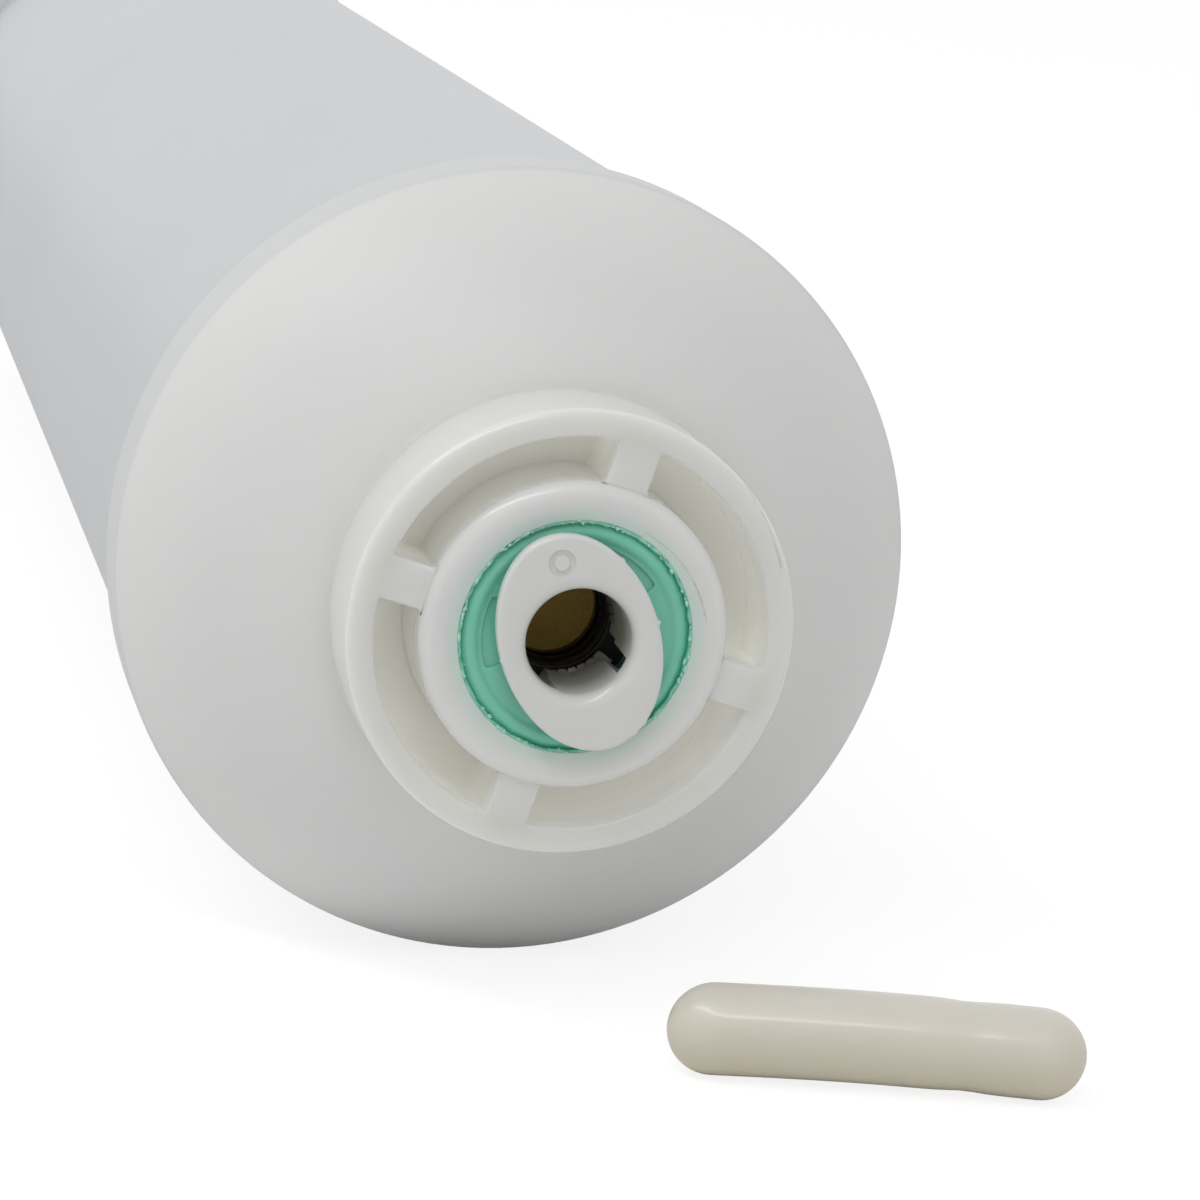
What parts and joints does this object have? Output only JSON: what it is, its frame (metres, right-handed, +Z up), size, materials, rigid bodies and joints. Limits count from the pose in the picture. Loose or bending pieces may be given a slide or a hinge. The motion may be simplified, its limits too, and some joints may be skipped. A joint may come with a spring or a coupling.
{
  "type": "inline carbon water filter",
  "caption": "Sealed inline water filter: white plastic tube with domed ends, a push-fit tube port with a release collet at each end, carbon inside, and push-in plugs.",
  "frame": {"origin": "middle of the tube, on its axis, at the centre of the band that a clip holds", "axes": "+Y along the filter from the pictured end to the other, +Z up as it lies, +X to the right seen from the pictured end"},
  "size_m": [0.0597, 0.2817, 0.053],
  "materials": {
    "housing_white": "smooth cool white polypropylene, satin",
    "cap_white": "moulded natural white polypropylene, satin with faint flow marks",
    "cartridge_green": "mint green moulded acetal, semi-gloss",
    "collet_white": "white moulded acetal, semi-gloss",
    "tooth_steel": "bright pressed stainless strip",
    "washer_black": "black moulded acetal",
    "o_ring_black": "black nitrile rubber",
    "felt_tan": "tan pressed felt",
    "grid_white": "moulded white polypropylene",
    "carbon_black": "packed black granules",
    "foam_grey": "open-cell foam",
    "plug_white": "off-white soft polyethylene, waxy"
  },
  "bodies": {
    "root": {"housing_tube": "housing_white", "carbon_bed": "carbon_black", "foam_disc": "foam_grey", "front_plug": "plug_white", "front_end_cap": "cap_white", "front_cartridge": "cartridge_green", "front_washer": "washer_black", "front_o_ring": "o_ring_black", "front_felt_pad": "felt_tan", "front_support_grid": "grid_white", "rear_end_cap": "cap_white", "rear_cartridge": "cartridge_green", "rear_washer": "washer_black", "rear_o_ring": "o_ring_black", "rear_felt_pad": "felt_tan", "rear_support_grid": "grid_white"},
    "front_collet": {"front_collet": "collet_white", "front_collet_teeth": "tooth_steel"},
    "rear_collet": {"rear_collet": "collet_white", "rear_collet_teeth": "tooth_steel"},
    "rear_plug": {"rear_plug": "plug_white"}
  },
  "joints": [
    {"name": "front_collet_push", "type": "slide", "parent": "root", "child": "front_collet", "axis": [0, 1, 0], "range_m": [-0.0004, 0.0007]},
    {"name": "rear_collet_push", "type": "slide", "parent": "root", "child": "rear_collet", "axis": [0, -1, 0], "range_m": [-0.0004, 0.0007]},
    {"name": "rear_plug_pull", "type": "slide", "parent": "root", "child": "rear_plug", "axis": [0, 1, 0], "range_m": [0, 0.015]}
  ]
}
